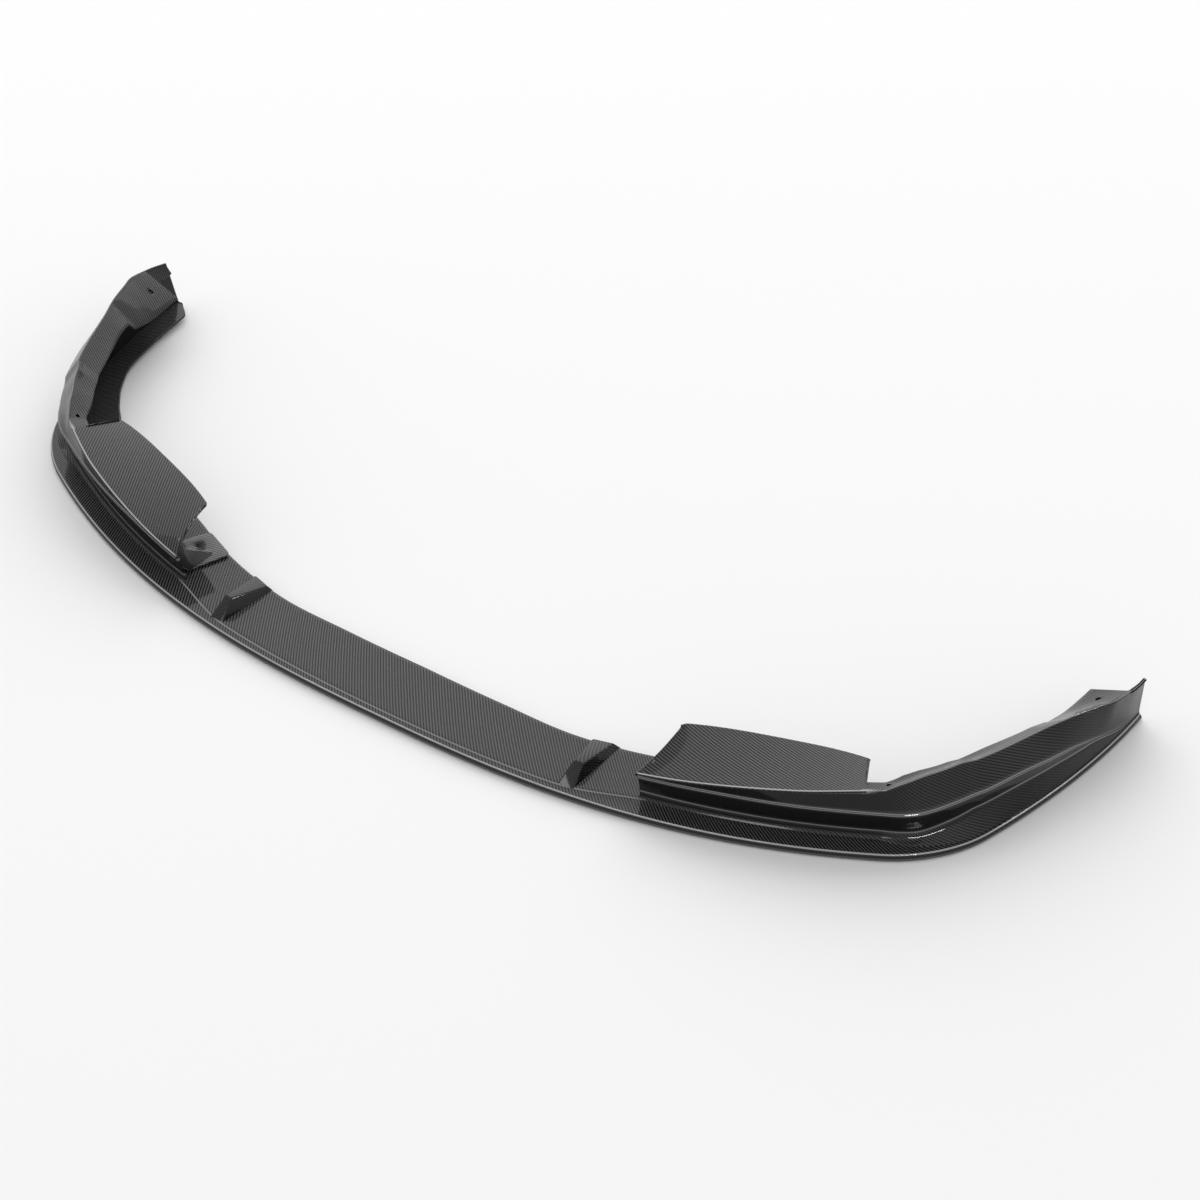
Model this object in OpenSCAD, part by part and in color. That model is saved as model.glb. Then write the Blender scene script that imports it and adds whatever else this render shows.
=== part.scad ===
// Front splitter lip in one moulded skin, millimetres, +Z up, nose towards -Y.
// Origin: middle of the bounding box's base, on the ground and on the symmetry plane.
// Every curve is a station u on the leading edge (0 centre, 1 corner start, 2 corner end,
// 3 widest point of the wing) with a distance d inwards from the edge and a height z.

/* [Plan] */
// half width at the leading edge of the wing
half_w = 912; // [860:1:960]
// distance from the foremost point back to the widest point of the wings
depth = 628; // [600:1:660]
// how far the wings run on behind their widest point
tail = 16; // [4:1:30]
// how far the end of each wing leans forward at its top
end_lean = 22; // [0:1:30]
// how far the front edge sweeps back before the corner
sweep = 168; // [120:1:200]
// power of the front sweep curve
sweep_power = 2.6; // [2:0.1:3.2]
// distance from the centre to the start of the corner
corner_x = 757; // [700:1:790]
// how far back the corner ends
corner_y = 292; // [260:1:320]
// how much the wing still spreads behind the corner
wing_bow = 54; // [30:1:80]

/* [Blade] */
// thickness of the blade sheet
blade_t = 4; // [3:0.5:6]
// height of the rolled leading edge
nose_h = 14; // [10:0.5:20]
// thickness of the rolled leading edge
nose_t = 8; // [6:0.5:12]
// depth of the blade at the centre
blade_mid = 123; // [100:1:150]
// depth of the blade under the shelves
blade_shelf = 142; // [125:1:160]
// depth of the blade in the wings
blade_wing = 46; // [40:1:60]
// height of the raised pad in the middle of the blade
pad_h = 1.5; // [1:0.1:3]

/* [Front body] */
// skin thickness of the raised body
skin = 3.5; // [3:0.5:5]
// height of the upper ridge at the inboard end
ridge_in_z = 60; // [50:1:70]
// height of the upper ridge at the corner
ridge_z = 72; // [62:1:80]
// height of the upper ridge in the wing
ridge_wing_z = 87; // [80:1:95]
// height of the concave line above the blade
cove_z = 26; // [20:1:32]
// height of the concave line in the wing
cove_wing_z = 60; // [50:1:66]
// height of the top edge at the corner
top_z = 111; // [100:1:118]
// height of the top edge in the wing
top_wing_z = 125; // [116:1:134]
// height of the flange's free edge
flange_z = 102; // [92:1:110]

/* [Shelf] */
// distance of the shelf's inboard edge from the centre
shelf_x = 418; // [405:1:432]
// height of the shelf's front corner at the inboard end
shelf_in_z = 69; // [64:1:80]
// height of the shelf's rear edge at the inboard end
shelf_rear_z1 = 101; // [92:1:108]
// height of the shelf's rear edge at the outboard end
shelf_rear_z2 = 97; // [88:1:104]
// how far the shelf's rear edge bows backwards
shelf_bow = 9; // [0:1:14]
// radius of the shelf's rear corners
shelf_r = 12; // [4:1:20]
// inboard rear corner, from the centre
shelf_rear_x1 = 436; // [420:1:450]
// inboard rear corner, from the front
shelf_rear_y1 = 157; // [145:1:168]
// outboard rear corner, from the centre
shelf_rear_x2 = 688; // [670:1:700]
// outboard rear corner, from the front
shelf_rear_y2 = 248; // [235:1:260]

/* [Fins] */
// distance of each fin from the centre, at its front
fin_x = 320; // [280:1:350]
// height of the fin's front end
fin_front_z = 39; // [30:1:45]
// height of the fin's rear end
fin_rear_z = 24; // [20:1:30]
// width of the fin's foot at the rear
fin_foot_w = 47; // [40:1:56]

/* [Fixings] */
// diameter of the two end bolt holes
end_hole_d = 9; // [6:0.5:12]
// diameter of the two foot screw holes
foot_hole_d = 5; // [4:0.5:8]
// diameter of the two corner holes
corner_hole_d = 7; // [5:0.5:9]
// inward size of the end plates
plate_w = 62; // [50:1:74]
// length of the end plates
plate_l = 140; // [120:1:150]

/* [Hidden] */
blade_z = nose_h;
chord = norm([corner_w(), corner_y - sweep]);
function corner_w() = wing_x() - corner_x;
function wing_x() = half_w - wing_bow;
edge_pow = 1.9;
front_slope = sweep / corner_x * sweep_power;
heading_a = atan(front_slope);
heading_b = 90 - atan(edge_pow * wing_bow / (depth - corner_y));
shelf_u = shelf_x / corner_x + 0.012;
split_u = 0.97;
end_u = 3 + tail / (depth - corner_y);
blade_n = 60;
wing_n = 43;
wing_u = split_u - 0.02;
lean_u = 2.6;
end_pow = 0.45;
end_drop = 31;
end_top_z = top_wing_z - end_drop;
fillet_in = 0.7;
fillet_up = 0.3;

// cubic through [u, value] keys
function key_slope(k, i) = i == 0 ? (k[1][1] - k[0][1]) / (k[1][0] - k[0][0])
    : i == len(k) - 1 ? (k[i][1] - k[i - 1][1]) / (k[i][0] - k[i - 1][0])
    : let (a = (k[i][1] - k[i - 1][1]) / (k[i][0] - k[i - 1][0]),
           b = (k[i + 1][1] - k[i][1]) / (k[i + 1][0] - k[i][0]))
      a * b <= 0 ? 0 : 2 * a * b / (a + b);
function key_at(u, k) = let (n = len(k) - 1, v = min(max(u, k[0][0]), k[n][0]),
        i = max([for (j = [0 : n - 1]) if (k[j][0] <= v) j]),
        w = k[i + 1][0] - k[i][0], t = (v - k[i][0]) / w)
    k[i][1] * (2 * t * t * t - 3 * t * t + 1) + k[i + 1][1] * (3 * t * t - 2 * t * t * t)
    + w * (key_slope(k, i) * (t * t * t - 2 * t * t + t)
           + key_slope(k, i + 1) * (t * t * t - t * t));

// leading edge: power curve, corner, then a bowed wing
function hermite(a, b, ta, tb, t) = a * (2 * t * t * t - 3 * t * t + 1)
    + ta * (t * t * t - 2 * t * t + t) + b * (3 * t * t - 2 * t * t * t) + tb * (t * t * t - t * t);
function wing_left(u) = max(0, 3 - u);
function edge(u) = u <= 1 ? [corner_x * u, sweep * pow(u, sweep_power)]
    : u <= 2 ? hermite([corner_x, sweep], [wing_x(), corner_y],
                       chord * [cos(heading_a), sin(heading_a)],
                       chord * [cos(heading_b), sin(heading_b)], u - 1)
    : [half_w - wing_bow * pow(wing_left(u), edge_pow), corner_y + (depth - corner_y) * (u - 2)];
function heading(u) = u <= 1 ? atan(front_slope * pow(u, sweep_power - 1))
    : u <= 2 ? heading_a + (heading_b - heading_a) * (u - 1)
    : 90 - atan(edge_pow * wing_bow / (depth - corner_y) * pow(wing_left(u), edge_pow - 1));
function at(u, d, z) = let (v = abs(u), e = edge(v), h = heading(v), s = u < 0 ? -1 : 1)
    [s * (e[0] - d * sin(h)), e[1] + d * cos(h) - lean(v) * pow(z / end_top_z, end_pow), z];
function lean(u) = end_lean * pow(max(0, (u - lean_u) / (end_u - lean_u)), 2);

// distances and heights of the lines that the body follows
function blade_d(u) = key_at(u, [[0, blade_mid], [0.2, blade_mid - 2],
    [0.36, blade_mid - 7], [0.46, blade_mid - 4], [0.56, blade_mid + 2], [0.75, blade_shelf - 1],
    [1, blade_shelf], [1.5, 122], [2, blade_wing + 56], [2.13, blade_wing + 35],
    [2.29, blade_wing + 13], [2.47, blade_wing], [2.95, blade_wing - 3], [end_u, 16]]);
function pad_d(u) = key_at(u, [[0, 9], [0.4, 11], [0.56, 31], [0.62, 36], [3, 36]]);
function foot_d(u) = key_at(u, [[0.5, 34], [0.9, 32], [1.18, 21], [1.35, 18], [1.66, 23], [1.9, 24],
    [2.1, 16], [2.35, 6], [2.6, 3], [3, 3]]);
function foot_z(u) = key_at(u, [[0, blade_z], [1.3, blade_z + 0.5], [1.66, 28], [2, cove_wing_z - 17],
    [2.3, cove_wing_z - 8], [2.6, 45], [2.9, 19], [end_u, 16]]);
function cove_d(u) = key_at(u, [[0.5, 38], [0.9, 37], [1.18, 33], [1.4, 30], [1.67, 27], [1.9, 25],
    [2.1, 17], [2.35, 7], [2.6, 4], [3, 4]]);
function cove_z_at(u) = key_at(u, [[0.5, cove_z], [1.3, cove_z + 1], [1.66, 40], [2, cove_wing_z - 8],
    [2.3, cove_wing_z], [2.6, 51], [2.9, 22], [end_u, 18]]);
function ridge_d(u) = key_at(u, [[0.5, 30], [0.7, 29], [0.9, 22], [1.3, 17], [1.63, 20], [1.84, 19],
    [2.1, 9], [2.35, 1], [2.6, 2], [3, 3]]);
function ridge_z_at(u) = key_at(u, [[0.5, ridge_in_z - 4], [0.75, ridge_in_z + 4], [0.95, ridge_z - 2],
    [1.35, ridge_z], [1.84, ridge_wing_z - 7], [2.2, ridge_wing_z], [2.45, 75], [2.6, 60], [2.75, 42],
    [2.9, 27], [end_u, 20]]);
function top_d(u) = key_at(u, [[0.5, 27], [0.68, 20], [0.85, 18], [0.98, 25], [1.2, 36], [1.5, 45],
    [1.8, 46], [2.1, 34], [2.35, 23], [2.48, 13],
    [2.64, 0], [2.75, -9], [2.9, -9], [end_u, -6]]);
function top_z_at(u) = key_at(u, [[0.5, shelf_in_z - 5], [0.98, top_z], [1.5, top_wing_z - 4],
    [2, top_wing_z], [2.48, top_wing_z - 1],
    [2.64, top_wing_z - 7], [2.75, top_wing_z - 12], [2.9, top_wing_z - 22], [end_u, end_top_z]]);
function flange_d(u) = key_at(u, [[wing_u, 52], [1.1, 60], [1.25, 69], [1.5, 75], [1.8, 76], [2.1, 68],
    [2.35, 54], [2.45, 50], [2.6, 20], [end_u, 8]]);
function flange_z_at(u) = key_at(u, [[wing_u, flange_z - 2], [2.3, flange_z],
    [2.5, flange_z - 6], [2.7, flange_z - 14], [end_u, flange_z - 28]]);

// closed tube through equal rings of points, capped at both ends
module loft(rings) {
    n = len(rings[0]);
    m = len(rings);
    polyhedron(
        points = [for (r = rings) for (p = r) p],
        faces = concat(
            [[for (i = [0 : n - 1]) n - 1 - i]],
            [[for (i = [0 : n - 1]) (m - 1) * n + i]],
            [for (j = [0 : m - 2]) for (i = [0 : n - 1]) let (k = (i + 1) % n)
                each [[j * n + i, j * n + k, (j + 1) * n + i], [j * n + k, (j + 1) * n + k, (j + 1) * n + i]]]));
}

// a section line given a thickness t to its right
function unit(v) = v / max(norm(v), 1e-6);
function side(v) = [v[1], -v[0]];
function thick(p, t) = let (n = len(p) - 1) concat(p, [for (i = [n : -1 : 0])
    let (a = unit(p[max(i, 1)] - p[max(i, 1) - 1]), b = unit(p[min(i, n - 1) + 1] - p[min(i, n - 1)]),
         s = unit(side(a) + side(b))) p[i] + s * t / max(0.5, s * side(b))]);
function ring(u, sec) = [for (q = sec) at(u, q[0], q[1])];

function blade_section(u) = let (v = abs(u), d = blade_d(v), g = min(pad_d(v), d - 4), top = v > 0.62 ? 0 : pad_h)
    [[d, blade_z + top], [d, blade_z - blade_t], [nose_t, blade_z - blade_t], [nose_t - 1, 0], [3, 0],
     [1, 1.6], [0, 5], [0.2, 9.5], [1.6, blade_z - 1.2], [5, blade_z], [g, blade_z],
     [g + 1.2, blade_z + top]];
module blade() {
    loft([for (i = [-blade_n : blade_n]) let (u = i / blade_n * end_u) ring(u, blade_section(u))]);
}

function hem_d(u) = key_at(u, [[0.5, 33], [split_u, 31], [1.25, 17], [1.5, 10], [2, 4.5], [end_u, 3.5]]);
// the hollow fillet between the foot and the cove line
function fillet_at(u) = [foot_d(u) + (cove_d(u) - foot_d(u)) * fillet_in,
    foot_z(u) + (cove_z_at(u) - foot_z(u)) * fillet_up];
function body_line(u, last) = concat([[hem_d(u), blade_z - 1]],
    [[foot_d(u), foot_z(u)], fillet_at(u), [cove_d(u), cove_z_at(u)], [ridge_d(u), ridge_z_at(u)],
     [top_d(u), top_z_at(u)]], last);
module wall() {
    loft([for (i = [0 : 9]) let (u = shelf_u + (split_u - shelf_u) * i / 9)
        ring(u, thick(body_line(u, []), skin))]);
}
module wing() {
    loft([for (i = [0 : wing_n]) let (u = wing_u + (end_u - wing_u) * i / wing_n)
        ring(u, thick(body_line(u, [[flange_d(u), flange_z_at(u)]]), skin))]);
}

// shelf plate, ruled from its front rim to the bowed rear edge
shelf_n = 16;
rim = 1.2;
shelf_len = norm([shelf_rear_x2 - shelf_rear_x1, shelf_rear_y2 - shelf_rear_y1]);
function shelf_cut(s) = let (q = max(0, 1 - min(s, 1 - s) * shelf_len / shelf_r))
    shelf_r * (1 - sqrt(1 - q * q));
function shelf_front(s) = let (u = shelf_u + (split_u - shelf_u) * s)
    at(u, top_d(u) + skin / 3, top_z_at(u) - rim);
function shelf_rear(s) = [shelf_rear_x1 + (shelf_rear_x2 - shelf_rear_x1) * s,
    shelf_rear_y1 + (shelf_rear_y2 - shelf_rear_y1) * s + shelf_bow * (1 - pow(abs(2 * s - 1), 3))
    - shelf_cut(s), shelf_rear_z1 + (shelf_rear_z2 - shelf_rear_z1) * s];
// crowned towards the inboard side, sideways and upwards
crown_x = 5;
crown_z = 3;
function shelf_at(s, v) = shelf_front(s) * (1 - v) + shelf_rear(s) * v
    + [crown_x, 0, crown_z] * (1 - s) * 4 * v * (1 - v);
module shelf() {
    loft([for (i = [0 : shelf_n]) let (s = (1 - cos(180 * i / shelf_n)) / 2) concat(
        [for (j = [0 : 4]) shelf_at(s, j / 4)],
        [for (j = [4 : -1 : 0]) shelf_at(s, j / 4) - [0, 0, skin]])]);
}

// curved web that carries the shelf's inboard edge down to a foot on the blade
foot_x = shelf_x + 7;
foot_y = 93;
foot_t = 2;
foot_z0 = blade_z + pad_h + foot_t;
web_front_y = 69;
web_front_z = shelf_in_z - 5;
web_rear_y = 87;
web_rear_z = shelf_in_z + 9;
web_fan = 56;
function web_front(t) = [foot_x + 2 * t, web_front_y + (foot_y - web_front_y) * pow(1 - t, 2),
    foot_z0 + (web_front_z - foot_z0) * t];
function web_rear(t) = [foot_x + 15 - 18 * pow(1 - t, 6) - 6 * t,
    web_rear_y + web_fan * pow(1 - t, 2.2), foot_z0 + (web_rear_z - foot_z0) * t];
module web() {
    loft([for (j = [0 : 8]) let (t = j / 8, a = web_front(t), b = web_rear(t))
        concat([for (i = [0 : 3]) a + (b - a) * i / 3],
               [for (i = [3 : -1 : 0]) a + (b - a) * i / 3 + [skin, 0, -skin / 2 * (1 - t)]])]);
}
module foot() {
    translate([0, 0, blade_z - 1]) linear_extrude(foot_z0 - blade_z + 1)
        polygon([[foot_x - 1, foot_y], [foot_x + 25, foot_y - 2], [foot_x + 57, foot_y + 43],
            [foot_x + 33, foot_y + 89], [foot_x + 26, foot_y + 88], [foot_x - 24, foot_y + 67],
            [foot_x - 26, foot_y + 60]]);
}

// wedge fin, tall at the front
module fin() {
    low = blade_z - 1;
    hull() polyhedron(points = [
        [fin_x - 13, 27, low], [fin_x + 13, 32, low],
        [fin_x - 28, 134, low], [fin_x - 28 + fin_foot_w, 145, low],
        [fin_x - 7, 62, fin_front_z], [fin_x + 7, 66, fin_front_z - 2],
        [fin_x - 20, 128, fin_rear_z], [fin_x + 9, 137, fin_rear_z]],
        faces = [[0, 1, 3, 2], [4, 6, 7, 5], [0, 4, 5, 1], [2, 3, 7, 6], [0, 2, 6, 4], [1, 5, 7, 3]]);
}

// wider plate with a bolt hole, in place of the flange at the wing's end
plate_u = 2.45;
plate_end = plate_u + plate_l / (depth - corner_y);
plate_inset = 5;
plate_in = 51;
plate_flare = 70;
function plate_z(u) = key_at(u, [[plate_u, 96], [2.53, 82], [2.65, 74], [2.9, 73]]);
module end_plate() {
    loft([for (i = [0 : 8]) let (u = plate_u + (plate_end - plate_u) * i / 8, a = top_d(u), z = top_z_at(u),
            b = min(plate_w - plate_inset, plate_in + plate_flare * (u - plate_u)), w = plate_z(u))
        ring(u, [[a + 1.5, z - 1.5], [b, w], [b - 1, w - skin], [a + 1.5, z - 2 * skin]])]);
}

module half() {
    wall();
    wing();
    shelf();
    web();
    foot();
    fin();
    end_plate();
}
// a hole square to the flange or plate that leads inwards from the top edge at station u
module edge_hole(u, d, low_d, low_z, dia) {
    fall = atan((top_z_at(u) - low_z) / (low_d - top_d(u)));
    translate(at(u, d, top_z_at(u) - (d - top_d(u)) * tan(fall)))
        rotate([-fall, 0, heading(u)]) translate([0, 0, -hole_reach])
            cylinder(d = dia, h = 2 * hole_reach, $fn = 48);
}
hole_reach = 16;
end_u0 = 2.76;
end_hole_in = 27;
corner_u = 1.04;
corner_hole_in = 44;
foot_hole_x = 26;
foot_hole_y = 51;
module holes() {
    edge_hole(end_u0, end_hole_in, plate_w - plate_inset, plate_z(end_u0), end_hole_d);
    edge_hole(corner_u, corner_hole_in, flange_d(corner_u), flange_z_at(corner_u), corner_hole_d);
    translate([foot_x + foot_hole_x, foot_y + foot_hole_y, 0])
        cylinder(d = foot_hole_d, h = 2 * hole_reach, $fn = 48);
}
module splitter_lip() {
    translate([0, -(depth + tail) / 2, 0]) color([0.06, 0.06, 0.065]) difference() {
        resize([0, 0, 0]) union() {
            blade();
            half();
            mirror([1, 0, 0]) half();
        }
        holes();
        mirror([1, 0, 0]) holes();
    }
}
splitter_lip();
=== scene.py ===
# %% [markdown]
# # Front splitter lip
# The real lip is one moulded skin: woven carbon fibre laid into a mould, cured, trimmed and covered with
# clear lacquer. The CAD model fixes its size and place as one solid. That solid could be shown as it is,
# but its facets are coarse and it has no cloth. So smooth thin skins are drawn from the same lines, and
# together they take its place.

# %% load the frame
import bpy
import numpy as np
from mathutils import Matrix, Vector


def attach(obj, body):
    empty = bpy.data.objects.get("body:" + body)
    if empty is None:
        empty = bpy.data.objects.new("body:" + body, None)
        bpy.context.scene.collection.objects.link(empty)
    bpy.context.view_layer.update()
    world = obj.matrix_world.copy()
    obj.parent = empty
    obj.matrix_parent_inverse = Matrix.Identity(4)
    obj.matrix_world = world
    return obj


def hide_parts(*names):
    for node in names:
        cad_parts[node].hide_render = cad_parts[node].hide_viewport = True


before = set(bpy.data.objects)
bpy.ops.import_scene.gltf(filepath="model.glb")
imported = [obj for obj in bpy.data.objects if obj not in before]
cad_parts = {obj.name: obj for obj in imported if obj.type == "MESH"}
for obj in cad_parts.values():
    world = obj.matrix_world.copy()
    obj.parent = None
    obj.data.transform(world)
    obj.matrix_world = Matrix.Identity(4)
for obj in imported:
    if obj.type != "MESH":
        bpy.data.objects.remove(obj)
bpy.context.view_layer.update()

NODE = "splitter_lip"

# %% [markdown]
# ## Sizes
# A lip like this is laid out from a few sizes: half its width, its depth, how far the front edge is swept
# back and where its corner lies. They could be measured on the CAD mesh. Repeating the driving sizes
# instead keeps every line true to the CAD model, so they stand here in millimetres.

# %% sizes
MM = 0.001
HALF_W = 912.0
DEPTH = 628.0
TAIL = 16.0
Y_MID = (DEPTH + TAIL) / 2
SWEEP = 168.0
SWEEP_POWER = 2.6
CORNER_X = 757.0
CORNER_Y = 292.0
WING_LEN = DEPTH - CORNER_Y
WING_BOW = 54.0
BOW_POWER = 1.9
WING_X = HALF_W - WING_BOW
BLADE_T = 4.0
NOSE_H = 14.0
NOSE_T = 8.0
PAD_H = 1.5
SKIN = 3.5
SHELF_X = 418.0
TIP_TOP = 94.0
END = 3 + TAIL / WING_LEN
print("half width", HALF_W, "depth", DEPTH + TAIL, "last station", round(END, 4))

# %% [markdown]
# ## Smooth keys
# The mould's lines are fair: they bend without a kink and without a wave between two marks. A spline
# through the marks could overshoot. Cubics whose slope is zero wherever the marks turn back, and else the
# harmonic mean of the slopes on both sides, never do, which is why every line is drawn with them.

# %% smooth keys
def hermite(t, a, slope_a, b, slope_b):
    """Cubic that runs from a to b while t runs from 0 to 1, with the given slopes at its ends."""
    return (a * (2 * t ** 3 - 3 * t ** 2 + 1) + slope_a * (t ** 3 - 2 * t ** 2 + t)
            + b * (3 * t ** 2 - 2 * t ** 3) + slope_b * (t ** 3 - t ** 2))


def key_at(u, *keys):
    """Curve through (u, value) keys: cubics whose slopes are harmonic means of their neighbours'."""
    place, value = np.array(keys, float).T
    width = np.diff(place)
    run = np.diff(value) / width
    both = run[:-1] * run[1:]
    total = run[:-1] + run[1:]
    inner = np.where(both > 0, 2 * both / np.where(total == 0, 1, total), 0)
    slope = np.concatenate([run[:1], inner, run[-1:]])
    v = np.clip(u, place[0], place[-1])
    i = np.clip(np.searchsorted(place, v, side="right") - 1, 0, len(width) - 1)
    t = (v - place[i]) / width[i]
    return hermite(t, value[i], width[i] * slope[i], value[i + 1], width[i] * slope[i + 1])


def guide(*keys):
    """Line of the lip, as a function that gives its distance or height at any station."""
    return lambda u: key_at(u, *keys)


print("half way between keys 0 and 1:", key_at(0.5, (0, 0), (1, 1), (2, 1)))

# %% [markdown]
# ## Leading edge
# Everything on the lip follows its front edge, so places are given along it. The station u is 0 at the
# middle, 1 and 2 at the two ends of the corner and END at the wing's tip; d is the distance inwards from
# the edge and z the height. Plain x and y would need new numbers for every stretch of the curve.

# %% leading edge
FRONT_SLOPE = SWEEP / CORNER_X * SWEEP_POWER
HEADING_A = np.arctan(FRONT_SLOPE)
HEADING_B = np.pi / 2 - np.arctan(BOW_POWER * WING_BOW / WING_LEN)
CHORD = np.hypot(WING_X - CORNER_X, CORNER_Y - SWEEP)
TIP_LEAN = 22.0
LEAN_U = 2.6
LEAN_POWER = 0.45


def towards(angle):
    """Unit step in plan at an angle from +X."""
    return np.array([np.cos(angle), np.sin(angle)])


def edge(u):
    """Leading edge in plan: y = SWEEP u^p up to the corner, one cubic round it, then a bowed wing."""
    u = np.abs(u)
    front = np.stack([CORNER_X * u, SWEEP * np.minimum(u, 1) ** SWEEP_POWER], -1)
    t = np.clip(u - 1, 0, 1)[..., None]
    corner = hermite(t, np.array([CORNER_X, SWEEP]), CHORD * towards(HEADING_A),
                     np.array([WING_X, CORNER_Y]), CHORD * towards(HEADING_B))
    left = np.clip(3 - u, 0, 1)
    wing = np.stack([HALF_W - WING_BOW * left ** BOW_POWER, CORNER_Y + WING_LEN * (u - 2)], -1)
    return np.where(u[..., None] <= 1, front, np.where(u[..., None] <= 2, corner, wing))


def heading(u):
    """Direction of the leading edge in plan, in radians from +X."""
    u = np.abs(u)
    front = np.arctan(FRONT_SLOPE * np.minimum(u, 1) ** (SWEEP_POWER - 1))
    corner = HEADING_A + (HEADING_B - HEADING_A) * (u - 1)
    rise = BOW_POWER * WING_BOW / WING_LEN * np.clip(3 - u, 0, 1) ** (BOW_POWER - 1)
    return np.where(u <= 1, front, np.where(u <= 2, corner, np.pi / 2 - np.arctan(rise)))


def at(u, d, z):
    """Point at station u, d mm inwards and z mm high. The tip leans forward by a power of its height."""
    u, d, z = np.broadcast_arrays(np.asarray(u, float), d, z)
    e = edge(u)
    h = heading(u)
    lean = TIP_LEAN * np.clip((np.abs(u) - LEAN_U) / (END - LEAN_U), 0, 1) ** 2
    x = np.where(u < 0, -1, 1) * (e[..., 0] - d * np.sin(h))
    y = e[..., 1] + d * np.cos(h) - lean * np.maximum(z / TIP_TOP, 0) ** LEAN_POWER - Y_MID
    return np.stack([x, y, z], -1)


print("leading edge ends at", at(END, 0, 0) * MM)

# %% [markdown]
# ## Lines of the lip
# From the blade upwards the moulded wall has a hem, a foot, a hollow cove, a ridge and a rim, and behind
# the rim a flange. On the real part each is a line that a hand can follow from the front round to the
# tip. They could be modelled as separate strips, but as functions of the station the whole wall can be
# swept in one piece: name_d is a line's distance inwards and name_z its height. The last four give a
# share from 0 to 1: of the pad's height and shine, the ridge's flare and the fold's sag.

# %% lines of the lip
WALL_INSET = 0.012
SHELF_U = SHELF_X / CORNER_X + WALL_INSET
SPLIT_U = 0.97
SPLIT_LAP = 0.02
WING_U = SPLIT_U - SPLIT_LAP

blade_d = guide((0, 123), (0.2, 121), (0.36, 116), (0.46, 119), (0.56, 125), (0.75, 141), (1, 142),
                (1.5, 122), (2, 102), (2.13, 81), (2.29, 59), (2.47, 46), (2.95, 43), (END, 16))
pad_d = guide((0, 9), (0.4, 11), (0.56, 31), (0.62, 36), (3, 36))
hem_d = guide((0.5, 33), (SPLIT_U, 31), (1.25, 17), (1.5, 10), (2, 4.5), (END, 3.5))
foot_d = guide((0.5, 34), (0.9, 32), (1.18, 21), (1.35, 18), (1.66, 23), (1.9, 24), (2.1, 16),
               (2.35, 6), (2.6, 3), (3, 3))
foot_z = guide((0, 14), (1.3, 14.5), (1.66, 28), (2, 43), (2.3, 52), (2.6, 45), (2.9, 19), (END, 16))
cove_d = guide((0.5, 38), (0.9, 37), (1.18, 33), (1.4, 30), (1.67, 27), (1.9, 25), (2.1, 17),
               (2.35, 7), (2.6, 4), (3, 4))
cove_z = guide((0.5, 26), (1.3, 27), (1.66, 40), (2, 52), (2.3, 60), (2.6, 51), (2.9, 22), (END, 18))
ridge_d = guide((0.5, 30), (0.7, 29), (0.9, 22), (1.3, 17), (1.63, 20), (1.84, 19), (2.1, 9),
                (2.35, 1), (2.6, 2), (3, 3))
ridge_z = guide((0.5, 56), (0.75, 64), (0.95, 70), (1.35, 72), (1.84, 80), (2.2, 87), (2.45, 75),
                (2.6, 60), (2.75, 42), (2.9, 27), (END, 20))
top_d = guide((0.5, 27), (0.68, 20), (0.85, 18), (0.98, 25), (1.2, 36), (1.5, 45), (1.8, 46), (2.1, 34),
              (2.35, 23), (2.48, 13), (2.64, 0.5), (2.75, -7.7), (2.9, -7.7), (END, -5))
top_z = guide((0.5, 64), (0.98, 111), (1.5, 121), (2, 125), (2.48, 124), (2.64, 118), (2.75, 113),
              (2.9, 103), (END, TIP_TOP))
flange_d = guide((WING_U, 52), (1.1, 60), (1.25, 69), (1.5, 75), (1.8, 76), (2.1, 68), (2.35, 54),
                 (2.45, 50), (2.475, 55), (2.6, 57), (3, 57))
flange_z = guide((WING_U, 100), (1.5, 102), (2.35, 102), (2.45, 97), (2.475, 86), (2.54, 80),
                 (2.65, 74), (2.9, 73))
tip_d = guide((2.8, 14), (END, 7))
tip_z = guide((2.7, 88), (END, 76))
pad_rise = guide((0, 1), (0.6, 1), (0.64, 0), (3, 0))
pad_shine = guide((0, 1), (0.55, 1), (0.6, 0), (3, 0))
flare_fade = guide((2.4, 1), (2.75, 0.2))
sag_along = guide((1.0, 0), (1.2, 1), (1.9, 1), (2.4, 0), (3, 0))
print("rim at the corner", at(1, top_d(1), top_z(1)) * MM)
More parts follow.
